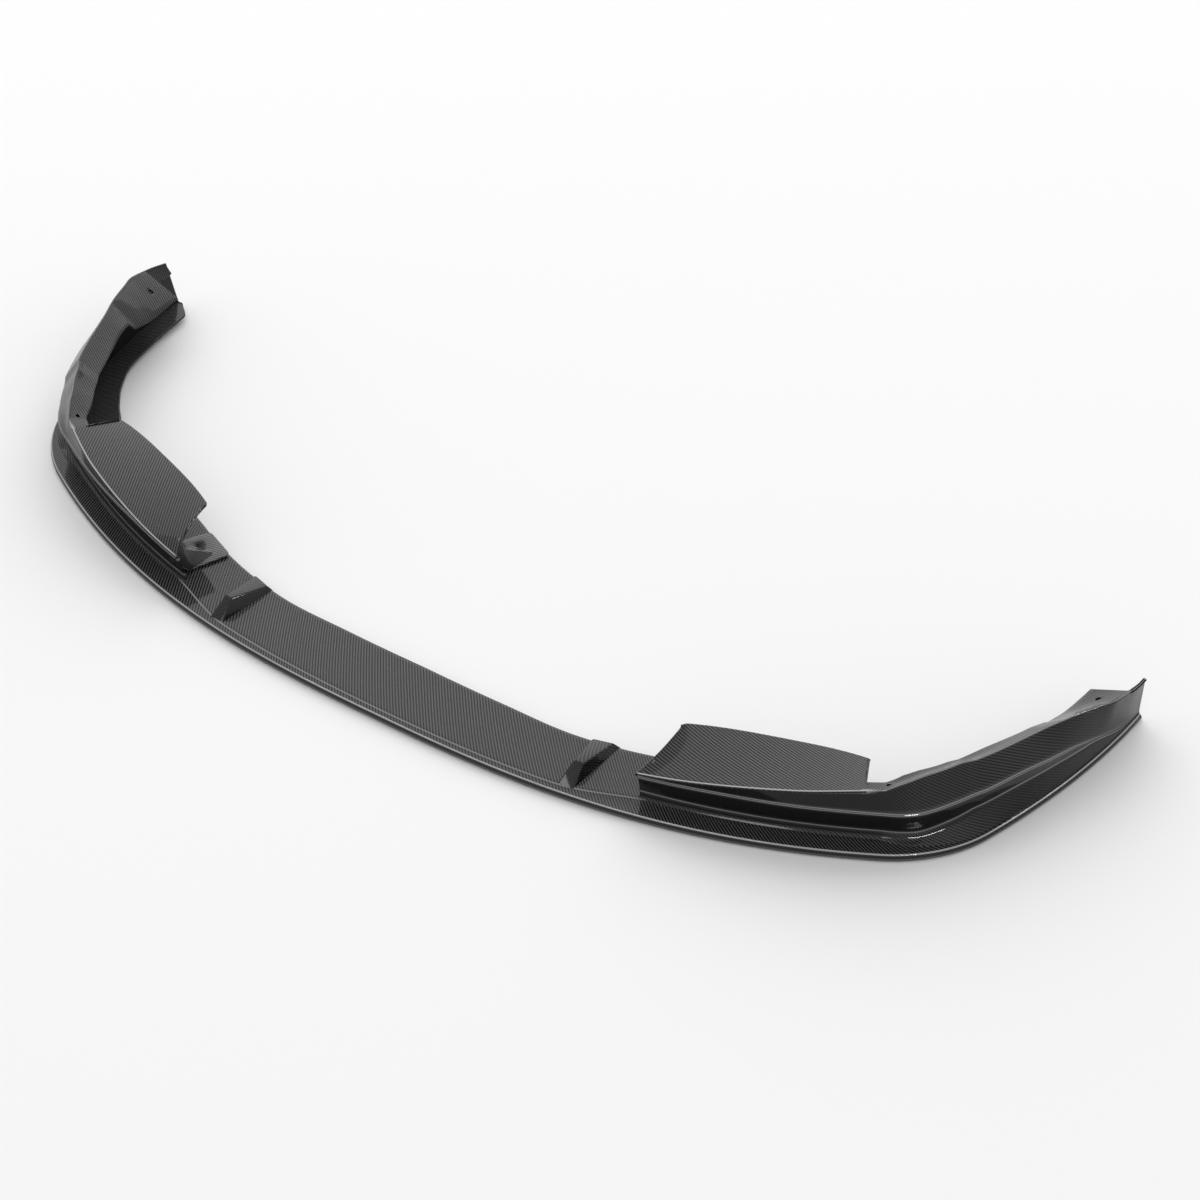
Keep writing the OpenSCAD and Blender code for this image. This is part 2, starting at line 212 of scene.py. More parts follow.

# %% [markdown]
# ## Meshes with a cloth layer
# Real cloth keeps its scale wherever it lies. A pattern in object space would smear on upright faces, so
# every vertex gets a place in millimetres on a flat sheet of cloth, kept in the layer cloth. A second
# layer says where a highlight is painted: along edges, and as painted light over shaded faces. 0 is none
# and 1 hides the cloth.

# %% mesh from arrays
def build(name, verts, faces, uv, bead=0.0):
    """Mesh object from vertices in mm, quads, one cloth place in mm and one painted highlight from 0 to 1 a
    vertex.
    """
    mesh = bpy.data.meshes.new(name)
    mesh.vertices.add(len(verts))
    mesh.vertices.foreach_set("co", (verts * MM).astype(np.float32).ravel())
    mesh.loops.add(faces.size)
    mesh.loops.foreach_set("vertex_index", faces.astype(np.int32).ravel())
    mesh.polygons.add(len(faces))
    mesh.polygons.foreach_set("loop_start", np.arange(0, faces.size, 4, dtype=np.int32))
    mesh.polygons.foreach_set("loop_total", np.full(len(faces), 4, np.int32))
    mesh.polygons.foreach_set("use_smooth", np.ones(len(faces), bool))
    corner = faces.ravel()
    painted_highlights = np.repeat(np.broadcast_to(bead, len(verts))[corner], 2)
    for layer, value in (("cloth", (uv[corner] * MM).ravel()), ("bead", painted_highlights)):
        mesh.uv_layers.new(name=layer).data.foreach_set("uv", value.astype(np.float32))
    mesh.update(calc_edges=True)
    mesh.validate()
    obj = bpy.data.objects.new(name, mesh)
    bpy.context.scene.collection.objects.link(obj)
    return obj


def arc(points, axis):
    """Running length along one axis of a grid, in mm, from its first row or column."""
    step = np.linalg.norm(np.diff(points, axis=axis), axis=2)
    pad = [(0, 0), (0, 0)]
    pad[axis] = (1, 0)
    return np.pad(np.cumsum(step, axis), pad)


EDGE_STEPS = 2001
fine = np.linspace(0, END, EDGE_STEPS)
EDGE_RUN = np.concatenate([[0], np.cumsum(np.linalg.norm(np.diff(edge(fine), axis=0), axis=1))])


def cloth(u, g):
    """Cloth places of a grid whose rows are stations: length of the leading edge, and distance across."""
    along = np.interp(np.abs(u), fine, EDGE_RUN) * np.sign(u)
    return np.stack([np.broadcast_to(along[:, None], g.shape[:2]), arc(g, 1)], -1)


print("cloth along half the edge, mm:", round(EDGE_RUN[-1]))

# %% [markdown]
# ## Skins
# A moulded skin has the same thickness everywhere and a round trimmed edge. Solidify and Bevel could make
# both, but a bevel would work on every crease of the section too. Here the inner face is the outer one
# moved along its normals, and half circles join their borders.

# %% skins
ROUND = 4
TINY = 1e-9


def normals(g):
    """Unit normals of a grid: the cross product of its two directions of parameters."""
    n = np.cross(np.gradient(g, axis=0), np.gradient(g, axis=1))
    return n / np.maximum(np.linalg.norm(n, axis=2, keepdims=True), TINY)


def loop_of(rows, cols):
    """Indices round the border of a grid, in one direction."""
    g = np.arange(rows * cols).reshape(rows, cols)
    return np.concatenate([g[0, :-1], g[:-1, -1], g[-1, :0:-1], g[:0:-1, 0]])


def rim_of(p, n, centre):
    """Half circles of the thickness round border points p: p - n s / 2 + (n cos a + out sin a) s / 2."""
    out = np.cross(np.roll(p, -1, 0) - np.roll(p, 1, 0), n)
    out /= np.maximum(np.linalg.norm(out, axis=1, keepdims=True), TINY)
    out *= np.sign(((p - centre) * out).sum() or 1)
    a = np.linspace(0, np.pi, ROUND + 1)[1:-1, None, None]
    return p - n * SKIN / 2 + (n * np.cos(a) + out * np.sin(a)) * SKIN / 2


def skin(name, g, uv, side=1, bead=0.0):
    """Closed sheet: outer grid g, inner grid g - SKIN n, and a rim of half circles between their borders.
    side -1 is the mirror image in x, with its faces turned and its cloth running on in the same sense."""
    rows, cols = g.shape[:2]
    count = rows * cols
    n = normals(g)
    border = loop_of(rows, cols)
    outer, flat = g.reshape(-1, 3), uv.reshape(-1, 2)
    rim = rim_of(outer[border], n.reshape(-1, 3)[border], outer.mean(0))
    verts = np.concatenate([outer, (g - n * SKIN).reshape(-1, 3), rim.reshape(-1, 3)])
    uvs = np.concatenate([flat, flat, np.tile(flat[border], (ROUND - 1, 1))])
    face = np.broadcast_to(bead, (rows, cols)).ravel()
    painted_highlights = np.concatenate([face, np.zeros(count), np.tile(face[border], ROUND - 1)])
    i = np.arange(count).reshape(rows, cols)
    quad = np.stack([i[:-1, :-1], i[1:, :-1], i[1:, 1:], i[:-1, 1:]], -1).reshape(-1, 4)
    middle = 2 * count + np.arange((ROUND - 1) * len(border)).reshape(ROUND - 1, -1)
    rings = np.concatenate([border[None], middle, border[None] + count])
    after = np.roll(rings, -1, 1)
    band = np.stack([rings[:-1], after[:-1], after[1:], rings[1:]], -1).reshape(-1, 4)
    faces = np.concatenate([quad, quad[:, ::-1] + count, band])
    return build(name, verts * [side, 1, 1], faces[:, ::side], uvs * [side, 1], painted_highlights)


PIECES = []


def both_sides(name, make):
    """Right and left piece of one kind."""
    for tag, side in (("right", 1), ("left", -1)):
        PIECES.append(make(f"{name}_{tag}", side))
    print(name, "vertices:", len(PIECES[-1].data.vertices))


print("rows round each rim:", ROUND + 1)

# %% [markdown]
# ## Blade
# The flat blade carries everything. On the real lip its leading edge is rolled down and back, so that it
# is stiff and drips clean, and a low pad lies on its middle. It could be a plate with a pipe along its
# edge, but the two would meet in a hard line. One closed section swept along the stations has none.

# %% blade
BLADE_ROWS = 360
BLADE_LOW = NOSE_H - BLADE_T
NOSE_IN, NOSE_UP = 3.4, 7.0
NOSE_DEG = np.arange(-80, 91, 10)
NOSE_BACK = [(NOSE_T, BLADE_LOW), (NOSE_T - 0.5, BLADE_LOW - 1), (NOSE_T - 0.8, 1), (NOSE_T - 1.8, 0),
             (3, 0)]
NOSE_END = 5.0
REAR_IN, REAR_UP = 1.5, 1.0
UNDER_POINTS = 4 + len(NOSE_BACK)
PAD_EDGE = UNDER_POINTS + len(NOSE_DEG) + 2
FLAT_POINTS = 14
LEAST_FLAT = 4.0
PAD_SLOPE = 3.0
# Painted highlights: a faint band under the nose, a strong line on its crest and a line along the pad's
# edge.
LOW_HIGHLIGHT, FACE_HIGHLIGHT, CREST_HIGHLIGHT, PAD_HIGHLIGHT = 0.15, 0.02, 0.65, 0.45
SEAM_GAP = 1e-6


def blade_section(v):
    """Closed section (d, z): UNDER_POINTS round the rear edge and along the underside, the nose as an
    ellipse NOSE_IN (1 - cos a), NOSE_UP (1 + sin a), the pad's slope, and points over the flat back."""
    d = blade_d(v)
    pad = np.minimum(pad_d(v), d - LEAST_FLAT)
    rise = PAD_H * pad_rise(v)
    z = NOSE_H + rise
    line = [(d - REAR_IN, z), (d, z - REAR_UP), (d, BLADE_LOW + REAR_UP), (d - REAR_IN, BLADE_LOW)]
    line += NOSE_BACK
    line += [(NOSE_IN * (1 - np.cos(a)), NOSE_UP * (1 + np.sin(a))) for a in np.radians(NOSE_DEG)]
    line += [(NOSE_END, NOSE_H), (pad, NOSE_H), (pad + PAD_SLOPE / 2, NOSE_H + rise / 2),
             (pad + PAD_SLOPE, z)]
    sec = np.stack([np.stack(np.broadcast_arrays(x, y, v)[:2], -1) for x, y in line], 1)
    t = np.linspace(0.05, 0.95, FLAT_POINTS)[:, None]
    return np.concatenate([sec, sec[:, -1:] * (1 - t) + sec[:, :1] * t], 1)


def blade_painted_highlights(v, cols):
    """Painted highlight of each row and column: faint under the nose, strong on its crest, and on the pad's
    edge.
    """
    bead = np.zeros(cols)
    bead[UNDER_POINTS - 1] = LOW_HIGHLIGHT
    bead[UNDER_POINTS:UNDER_POINTS + len(NOSE_DEG)] = np.select(
        [NOSE_DEG < 0, NOSE_DEG < 50, NOSE_DEG < 80], [LOW_HIGHLIGHT, FACE_HIGHLIGHT, CREST_HIGHLIGHT], 0)
    painted_highlights = np.tile(bead, (len(v), 1))
    painted_highlights[:, PAD_EDGE] = PAD_HIGHLIGHT * pad_shine(v)
    return painted_highlights


def blade():
    """Swept tube with a row of quads over each end, and its seam welded."""
    u = np.linspace(-END, END, BLADE_ROWS)
    sec = blade_section(np.abs(u))
    g = at(u[:, None], sec[..., 0], sec[..., 1])
    g = np.concatenate([g, g[:, :1]], 1)
    rows, cols = g.shape[:2]
    i = np.arange(rows * cols).reshape(rows, cols)
    quad = np.stack([i[:-1, :-1], i[:-1, 1:], i[1:, 1:], i[1:, :-1]], -1).reshape(-1, 4)
    last = cols - 2
    k = np.arange((cols - 1) // 2 - 1)
    ends = [np.stack([row[k], row[k + 1], row[last - 1 - k], row[last - k]], -1) for row in (i[0], i[-1])]
    faces = np.concatenate([quad, ends[0], ends[1][:, ::-1]])[:, ::-1]
    painted_highlights = blade_painted_highlights(np.abs(u), cols).ravel()
    obj = build("blade", g.reshape(-1, 3), faces, cloth(u, g).reshape(-1, 2), painted_highlights)
    weld = obj.modifiers.new("weld", "WELD")
    weld.merge_threshold = SEAM_GAP
    return obj


PIECES.append(blade())
print("blade vertices:", len(PIECES[-1].data.vertices))

# %% [markdown]
# ## Shelves
# On each side a shelf lies behind the front wall, level with its rim. It is a plate with a slightly bowed
# rear edge and round corners, crowned most near its inboard edge, where it rolls over into the web. A
# flat plate with a bevel would look cut from sheet. Ruling it between its front and rear edge and adding
# the crown as a parabola gives the moulded look.

# %% shelves
SHELF_REAR = np.array([(436.0, 157.0, 101.0), (688.0, 248.0, 97.0)])
SHELF_BOW = 9.0
SHELF_R = 5.0
SHELF_CROWN = np.array([5.0, 0.0, 3.0])
RIM_DROP = 1.2
ROLL = 4.0
ROLL_TAPER = 0.55
ROLL_CLOSE, ROLL_LEAST = 6.0, 0.12
ROLL_ROWS = 7


def shelf_rear(s):
    """Straight line between the rear corners, bowed by 1 - |2s - 1|^3 and cut by a circle at each end."""
    a, b = SHELF_REAR
    p = a + (b - a) * s[:, None]
    q = np.clip(1 - np.minimum(s, 1 - s) * np.linalg.norm((b - a)[:2]) / SHELF_R, 0, 1)
    p[:, 1] += SHELF_BOW * (1 - np.abs(2 * s - 1) ** 3) - SHELF_R * (1 - np.sqrt(1 - q * q)) - Y_MID
    return p


def shelf_point(s, v):
    """Ruled from the rim (v 0) to the rear edge (v 1), plus a crown of 4 v (1 - v) that fades outboard."""
    u = SHELF_U + (SPLIT_U - SHELF_U) * s
    front = at(u, top_d(u) + SKIN / 3, top_z(u) - RIM_DROP)
    v = v[None, :, None]
    crown = (1 - s)[:, None, None] * SHELF_CROWN
    return front[:, None] * (1 - v) + shelf_rear(s)[:, None] * v + crown * 4 * v * (1 - v)


def shelf(name, side, n=80, m=44):
    """Grid of the shelf. Its inboard rows turn down through a quarter circle, smaller towards the rear."""
    s = (1 - np.cos(np.linspace(0, np.pi, n))) / 2
    v = np.linspace(0, 1, m)
    g = shelf_point(s, v)
    turn = np.linspace(np.pi / 2, 0, ROLL_ROWS + 1)[:-1, None]
    radius = ROLL * (1 - ROLL_TAPER * v) * np.minimum(1, (1 - v) * ROLL_CLOSE + ROLL_LEAST)
    aside = -radius * np.sin(turn)
    rolled = g[:1] + np.stack([aside, np.zeros_like(aside), radius * (np.cos(turn) - 1)], -1)
    g = np.concatenate([rolled, g])
    return skin(name, g, g[..., :2], side)


both_sides("shelf", shelf)

# %% [markdown]
# ## Round corners of a section
# Cloth can't be pressed into a sharp corner of a mould, so every edge between two faces has a radius. A
# Bevel modifier could round them, but the radius differs from edge to edge and fades along the lip. Each
# section's corners are therefore cut back by a length of their own and bridged by a parabola.

# %% rounded sections
CORNER_ROWS = 7
MOST_CUT = 0.45


def parabola(a, p, b, t):
    """Curve from a to b that leaves towards p and arrives from p: a (1-t)^2 + 2 p t (1-t) + b t^2."""
    return a * (1 - t) ** 2 + p * 2 * t * (1 - t) + b * t ** 2


def rounded(points, cuts):
    """Sections (stations, k, 3) whose inner corners become parabolas that start cut mm before them."""
    t = np.linspace(0, 1, CORNER_ROWS)[:, None]
    out = [points[:, :1]]
    for i, most in enumerate(cuts, 1):
        a, p, b = points[:, i - 1, None], points[:, i, None], points[:, i + 1, None]
        la = np.linalg.norm(a - p, axis=-1, keepdims=True)
        lb = np.linalg.norm(b - p, axis=-1, keepdims=True)
        c = np.minimum(most, MOST_CUT * np.minimum(la, lb))
        out.append(parabola(p + (a - p) * c / la, p, p + (b - p) * c / lb, t))
    return np.concatenate(out + [points[:, -1:]], 1)


print("rows round each corner:", CORNER_ROWS)

# %% [markdown]
# ## Walls and wings
# Behind the nose the skin rises: a fillet above the blade, an undercut face, a flared ridge, and an upper
# face up to the rim. The same sheet runs on round the corner as the outside of the wing. Its rim is
# folded inwards: as a short lip on the shelf, as the wing's flange, as the sloping end plate, and last as
# a narrow lip out to the tip. Front and wing could be two pieces, but the real part shows no joint there.

# %% wall sections
CUTS = (5, 3.5, 1.6, 1.6, 1.6, 2.6)
SINK = 1.0
FILLET_IN, FILLET_UP = 0.7, 0.3
FLARE = 2.4
FLARE_BACK, FLARE_OUT, FLARE_UP = 0.3, 0.4, 0.9
LIP = 0.03
LIP_DROP = 0.5
SHELF_END = SPLIT_U - 0.006
PLATE_U, PLATE_L = 2.45, 140.0
PLATE_END = PLATE_U + PLATE_L / WING_LEN
WALL_MARKS = ((SHELF_U, 70), (SPLIT_U - 0.012, 5), (SPLIT_U + 0.004, 196), (PLATE_END - 0.012, 5),
              (PLATE_END + 0.006, 36))


def wall_stations():
    """Stations from mark to mark, close together where the fold changes its width."""
    ends = [start for start, _ in WALL_MARKS[1:]] + [END]
    rows = [np.linspace(a, b, n, endpoint=False) for (a, n), b in zip(WALL_MARKS, ends)]
    return np.concatenate(rows + [[END]])


def fold_end(u):
    """Free edge of the fold at each station: on the shelf, then flange, plate and tip lip."""
    s = np.clip((u - SHELF_U) / (SPLIT_U - SHELF_U), 0, 1)
    on_shelf = shelf_point(s, np.array([LIP]))[:, 0] - [0, 0, LIP_DROP]
    flange = at(u, flange_d(u), flange_z(u))
    tip = at(u, tip_d(u), tip_z(u))
    return np.where(u[:, None] < SHELF_END, on_shelf, np.where(u[:, None] < PLATE_END, flange, tip))


def wall_section(u):
    """Hem, foot, fillet, cove, flared ridge, rim and fold joined at each station, corners rounded."""
    fd, fz, cd, cz, rd, rz = (line(u) for line in (foot_d, foot_z, cove_d, cove_z, ridge_d, ridge_z))
    flare = FLARE * flare_fade(u)
    d = [hem_d(u), fd, fd + (cd - fd) * FILLET_IN, cd, rd - FLARE_BACK * flare, rd + FLARE_OUT * flare,
         top_d(u)]
    z = [NOSE_H - SINK, fz, fz + (cz - fz) * FILLET_UP, cz, rz, rz + FLARE_UP * flare, top_z(u)]
    return rounded(np.stack([at(u, *place) for place in zip(d, z)] + [fold_end(u)], 1), CUTS)


print("stations of a wall:", len(wall_stations()))

# %% [markdown]
# ## Painted highlights along the edges
# The fine bright lines along ridge and rim are highlights on their rounded crests. Modelled as a tube of
# lacquer such a line would be thinner than a pixel. So the highlights are painted: each vertex of a
# rounded corner carries an amount of painted highlight, most on the crest, which pales the cloth there.

# %% walls
# Painted highlights on the rounded corners of a section, along the rim and on the fold over the shelf.
CORNER_HIGHLIGHTS = (0, 0, 0.45, 0.4, 0.45, 0, 0)
SHELF_RIM_HIGHLIGHT, WING_RIM_HIGHLIGHT, FOLD_HIGHLIGHT = 0.45, 0.4, 0.35
BLEND_U = 0.02
FILL = 7
LONG = 5.0
HOLLOW = 2.0


def filled(sec):
    """Adds FILL rows to each stretch that is LONG, with no painted highlight on them. Painted highlights on
    a corner's rows fall off from its middle row, by 1 - |2 place - 6| / 7."""
    t = np.linspace(0, 1, FILL + 2)[1:-1, None]
    out, bead = [sec[:, :1]], [0.0]
    for k in range(1, sec.shape[1]):
        a, b = sec[:, k - 1:k], sec[:, k:k + 1]
        if np.median(np.linalg.norm(b - a, axis=-1)) > LONG:
            out.append(a * (1 - t) + b * t)
            bead += [0.0] * FILL
        out.append(b)
        corner, place = divmod(k - 1, CORNER_ROWS)
        bead.append(CORNER_HIGHLIGHTS[corner] * (1 - abs(2 * place - CORNER_ROWS + 1) / CORNER_ROWS))
    return np.concatenate(out, 1), bead


def wall(name, side):
    """Skin over the filled sections. The fold sags by HOLLOW sin(pi w) and its cloth is laid in plan."""
    u = wall_stations()
    g, bead = filled(wall_section(u))
    cols = g.shape[1]
    rim = cols - (CORNER_ROWS + FILL + 1) + np.arange(CORNER_ROWS)
    fold = slice(rim[-1] + 1, None)
    painted_highlights = np.tile(bead, (len(u), 1))
    # Painted highlight along the rim, fuller on the shelf and arched on the wing, and over the fold on the
    # shelf.
    on_wing = np.clip((u - SPLIT_U) / BLEND_U, 0, 1)[:, None]
    arch = 1 - np.abs(2 * np.arange(CORNER_ROWS) / (CORNER_ROWS - 1) - 1)
    painted_highlights[:, rim] = (1 - on_wing) * SHELF_RIM_HIGHLIGHT * (1 + arch) + on_wing * WING_RIM_HIGHLIGHT * arch
    painted_highlights[u < SHELF_END, fold] = FOLD_HIGHLIGHT
    uv = cloth(u, g)
    uv[:, fold] = g[:, fold, :2]
    w = np.clip((np.arange(cols) - (cols - FILL - 2)) / (FILL + 1), 0, 1)
    g[..., 2] -= HOLLOW * sag_along(u)[:, None] * np.sin(np.pi * w)
    return skin(name, g, uv, side, painted_highlights)


both_sides("wall", wall)

# %% [markdown]
# ## Bolt holes
# Each wing is bolted to the car through a hole in its end plate and one at the corner, drilled square to
# the sheet after moulding. A hole could be left out of the grid, but the grid's lines run past it at a
# slant. An exact boolean with a cylinder cuts it clean, and each cylinder is removed again.

# %% bolt holes
END_HOLE = (2.76, 27.0, 4.5)
CORNER_HOLE = (1.04, 44.0, 3.5)
DRILL_REACH = 14.0
DRILL_SIDES = 48
NOT_ALONG = (0, 1, 0.2)


def drill_bit(centre, axis, r):
    """Closed cylinder: two rings centre +- DRILL_REACH axis + r (e1 cos a + e2 sin a), and their lids."""
    a = np.linspace(0, 2 * np.pi, DRILL_SIDES, endpoint=False)[:, None]
    e1 = np.cross(axis, NOT_ALONG)
    e1 /= np.linalg.norm(e1)
    ring = r * (np.cos(a) * e1 + np.sin(a) * np.cross(axis, e1))
    verts = np.concatenate([ring - axis * DRILL_REACH, ring + axis * DRILL_REACH]) + centre
    i = np.arange(DRILL_SIDES)
    j = np.roll(i, -1)
    wall_faces = np.stack([i, j, j + DRILL_SIDES, i + DRILL_SIDES], -1).tolist()
    mesh = bpy.data.meshes.new("drill")
    mesh.from_pydata((verts * MM).tolist(), [], [i[::-1].tolist(), (i + DRILL_SIDES).tolist()] + wall_faces)
    obj = bpy.data.objects.new("drill", mesh)
    bpy.context.scene.collection.objects.link(obj)
    return obj


def drill(obj, hole, side):
    """Hole (station, d, radius) square to the sheet that falls from the rim to the flange's free edge."""
    u, d, r = np.array(hole)
    fall = np.arctan((top_z(u) - flange_z(u)) / (flange_d(u) - top_d(u)))
    h = heading(u)
    centre = at(u, d, top_z(u) - (d - top_d(u)) * np.tan(fall))
    axis = np.array([-np.sin(fall) * np.sin(h), np.sin(fall) * np.cos(h), np.cos(fall)])
    bit = drill_bit(centre * [side, 1, 1], axis * [side, 1, 1], r)
    mod = obj.modifiers.new("cut", "BOOLEAN")
    mod.object = bit
    mod.solver = "EXACT"
    deps = bpy.context.evaluated_depsgraph_get()
    done = bpy.data.meshes.new_from_object(obj.evaluated_get(deps), depsgraph=deps)
    obj.modifiers.clear()
    obj.data = done
    bpy.data.objects.remove(bit)


for obj, side in zip(PIECES[-2:], (1, -1)):
    for hole in (END_HOLE, CORNER_HOLE):
        drill(obj, hole, side)
    print(obj.name, "drilled, vertices:", len(obj.data.vertices))

# %% [markdown]
# ## Webs
# From each shelf's inboard edge a web fans out down to its foot and stiffens the blade. On the mould it
# is one of the few faces that curve in both directions. It could be sculpted, but a ruled surface is what
# a tool maker would draw: straight lines between two curves, here with a slight bow across.

# %% webs
FOOT = (SHELF_X + 7, 93.0)
FOOT_Z = NOSE_H + PAD_H + 5
WEB_FRONT = (69.0, 64.0)
WEB_REAR = (87.0, 80.0)
WEB_FAN = 56.0
WEB_LEAN, WEB_WIDE, WEB_HOOK, WEB_TUCK = 2.0, 15.0, 18.0, 6.0
WEB_BOW = 1.5
# Painted light: an even share of painted highlight pales the web, which lies in the shelf's shade.
WEB_PAINTED_LIGHT = 0.22


def web(name, side, n=48, m=20):
    """Front edge y = y0 + c (1-t)^2 and rear edge y = y1 + fan (1-t)^2.2, joined by straight lines."""
    t = np.linspace(0, 1, n)
    front = np.stack([FOOT[0] + WEB_LEAN * t,
                      WEB_FRONT[0] + (FOOT[1] - WEB_FRONT[0]) * (1 - t) ** 2 - Y_MID,
                      FOOT_Z + (WEB_FRONT[1] - FOOT_Z) * t], -1)
    rear = np.stack([FOOT[0] + WEB_WIDE - WEB_HOOK * (1 - t) ** 6 - WEB_TUCK * t,
                     WEB_REAR[0] + WEB_FAN * (1 - t) ** 2.2 - Y_MID,
                     FOOT_Z + (WEB_REAR[1] - FOOT_Z) * t], -1)
    w = np.linspace(0, 1, m)[None, :, None]
    g = front[:, None] * (1 - w) + rear[:, None] * w
    g[..., 0] -= WEB_BOW * np.sin(np.pi * t)[:, None] * np.sin(np.pi * w[..., 0])
    g = g[:, ::-1]
    return skin(name, g, np.stack([arc(g, 1), arc(g, 0)], -1), side, WEB_PAINTED_LIGHT)


both_sides("web", web)

# %% [markdown]
# ## Feet
# The foot is a small flat flange that a screw holds to the blade. It could be cut from a slab, but the
# boolean left this thin mesh empty. A closed section swept once round the hole, wide enough at each angle
# to reach the outline, gives plate, edge and hole together.

# %% feet
FOOT_OUT = np.array([(-1, 0), (25, -2), (57, 43), (33, 89), (26, 88), (-24, 67), (-26, 60)], float)
FOOT_R = 5.0
FOOT_CUT = 0.4
FOOT_CORNER = 6
FOOT_HOLE = np.array([26.0, 51.0])
FOOT_HOLE_R = 2.5
# Painted light: a small even share of painted highlight greys the foot, which lies in the shelf's shade.
FOOT_PAINTED_LIGHT = 0.08
FOOT_SECTION = ((0, 0), (0.5, 0), (0.96, 0), (0.99, -0.3), (1, -0.9), (1, -1.8), (0.99, -2.4),
                (0.96, -2.5), (0.5, -2.5), (0, -2.5))


def foot_outline(n):
    """Outline with rounded corners as n points at equal distances."""
    t = np.linspace(0, 1, FOOT_CORNER)[:, None]
    line = []
    for a, p, b in zip(np.roll(FOOT_OUT, 1, 0), FOOT_OUT, np.roll(FOOT_OUT, -1, 0)):
        start, end = (p + (q - p) * min(FOOT_CUT, FOOT_R / np.linalg.norm(q - p)) for q in (a, b))
        line.append(parabola(start, p, end, t))
    line = np.concatenate(line + [line[0][:1]])
    run = np.concatenate([[0], np.cumsum(np.linalg.norm(np.diff(line, axis=0), axis=1))])
    s = np.linspace(0, run[-1], n, endpoint=False)
    return np.stack([np.interp(s, run, line[:, k]) for k in (0, 1)], -1)


def foot(name, side, n=96):
    """Section points (f, z) lie on the ray from the hole to the outline at r + (far - r) f."""
    away = foot_outline(n) - FOOT_HOLE
    far = np.linalg.norm(away, axis=1, keepdims=True)
    rings = [np.concatenate([FOOT_HOLE + away / far * (FOOT_HOLE_R + (far - FOOT_HOLE_R) * f),
                             np.full((n, 1), z)], 1) for f, z in FOOT_SECTION]
    g = np.stack(rings, 1) + [FOOT[0], FOOT[1] - Y_MID, FOOT_Z]
    i = np.arange(n * len(FOOT_SECTION)).reshape(n, -1)
    after, across = np.roll(i, -1, 0), np.roll(i, -1, 1)
    faces = np.stack([i, across, np.roll(after, -1, 1), after], -1).reshape(-1, 4)
    verts = g.reshape(-1, 3)
    return build(name, verts * [side, 1, 1], faces[:, ::side], verts[:, :2], FOOT_PAINTED_LIGHT)


both_sides("foot", foot)

# %% [markdown]
# ## Fins
# Two wedges on the blade guide the air: tall at the front, flat and long behind. A mould needs soft edges
# on such a block. Eight corners fix the wedge, and a Bevel modifier gives every edge the same radius,
# which is simpler here than rounding sections, since all its faces are flat.

# %% fins
FIN_X = 320.0
FIN_CORNERS = np.array([(-13, 27, NOSE_H - SINK), (13, 32, NOSE_H - SINK), (-28, 134, NOSE_H - SINK),
                        (19, 145, NOSE_H - SINK), (-7, 62, 39), (7, 66, 37), (-20, 128, 24), (9, 137, 24)])
FIN_FACES = np.array([(0, 2, 3, 1), (4, 5, 7, 6), (0, 1, 5, 4), (2, 6, 7, 3), (0, 4, 6, 2), (1, 3, 7, 5)])
FIN_RADIUS = 2.2
FIN_SEGMENTS = 4
FIN_DRAPE = np.array([1.0, 0.7])


def fin(name, side):
    """Wedge from its corners. Its cloth is laid in plan and draped down by FIN_DRAPE times the height."""
    v = FIN_CORNERS + [FIN_X, -Y_MID, 0]
    obj = build(name, v * [side, 1, 1], FIN_FACES[:, ::side], v[:, :2] + FIN_DRAPE * v[:, 2:])
    bevel = obj.modifiers.new("radius", "BEVEL")
    bevel.width = FIN_RADIUS * MM
    bevel.segments = FIN_SEGMENTS
    return obj


both_sides("fin", fin)
print("pieces:", [p.name for p in PIECES])

# %% [markdown]
# ## Node helpers
# A material is a small network that Cycles works out for every point it sees. It could be joined by hand
# in the editor. In a script, a few helpers that take either a number or another node's output keep the
# formulas readable.

# %% node helpers
def nodes_of(owner):
    """Empty node tree of a material or a world."""
    owner.use_nodes = True
    owner.node_tree.nodes.clear()
    return owner.node_tree


def feed(tree, socket, value):
    """Links another node's output to a socket, or sets the socket to a plain value."""
    if isinstance(value, bpy.types.NodeSocket):
        tree.links.new(value, socket)
    else:
        socket.default_value = value


def calc(tree, op, *values):
    """Maths node on outputs or numbers."""
    node = tree.nodes.new("ShaderNodeMath")
    node.operation = op
    for socket, value in zip(node.inputs, values):
        feed(tree, socket, value)
    return node.outputs[0]


MIX_PLACES = {"FLOAT": (0, 2, 3, 0), "RGBA": (0, 6, 7, 2)}


def mixed(tree, factor, a, b, kind="RGBA", mode="MIX"):
    """a where the factor is 0 and b where it is 1. MIX_PLACES names the sockets that each kind uses."""
    node = tree.nodes.new("ShaderNodeMix")
    node.data_type = kind
    node.blend_type = mode
    places = MIX_PLACES[kind]
    for place, value in zip(places, (factor, a, b)):
        feed(tree, node.inputs[place], value)
    return node.outputs[places[3]]


def layer_of(tree, name):
    """Output of one of the mesh's own texture layers."""
    node = tree.nodes.new("ShaderNodeUVMap")
    node.uv_map = name
    return node.outputs[0]


def parts_of(tree, vector):
    """The x, y and z outputs of a vector."""
    node = tree.nodes.new("ShaderNodeSeparateXYZ")
    feed(tree, node.inputs[0], vector)
    return node.outputs


print("mix sockets", MIX_PLACES)

# %% [markdown]
# ## Twill
# The cloth is a two by two twill: every tow passes over two and under two, one step further in each row,
# which draws the diagonal ribs. A picture of cloth would repeat and blur. A formula stays sharp: with
# whole tow numbers i and j, the warp lies on top where (i + j) mod 4 is under 2, and each tow is round
# across, like sin(pi x).

# %% twill
TOW = 0.0015
MOTTLE_SCALE, MOTTLE_DETAIL = 0.6, 3.0


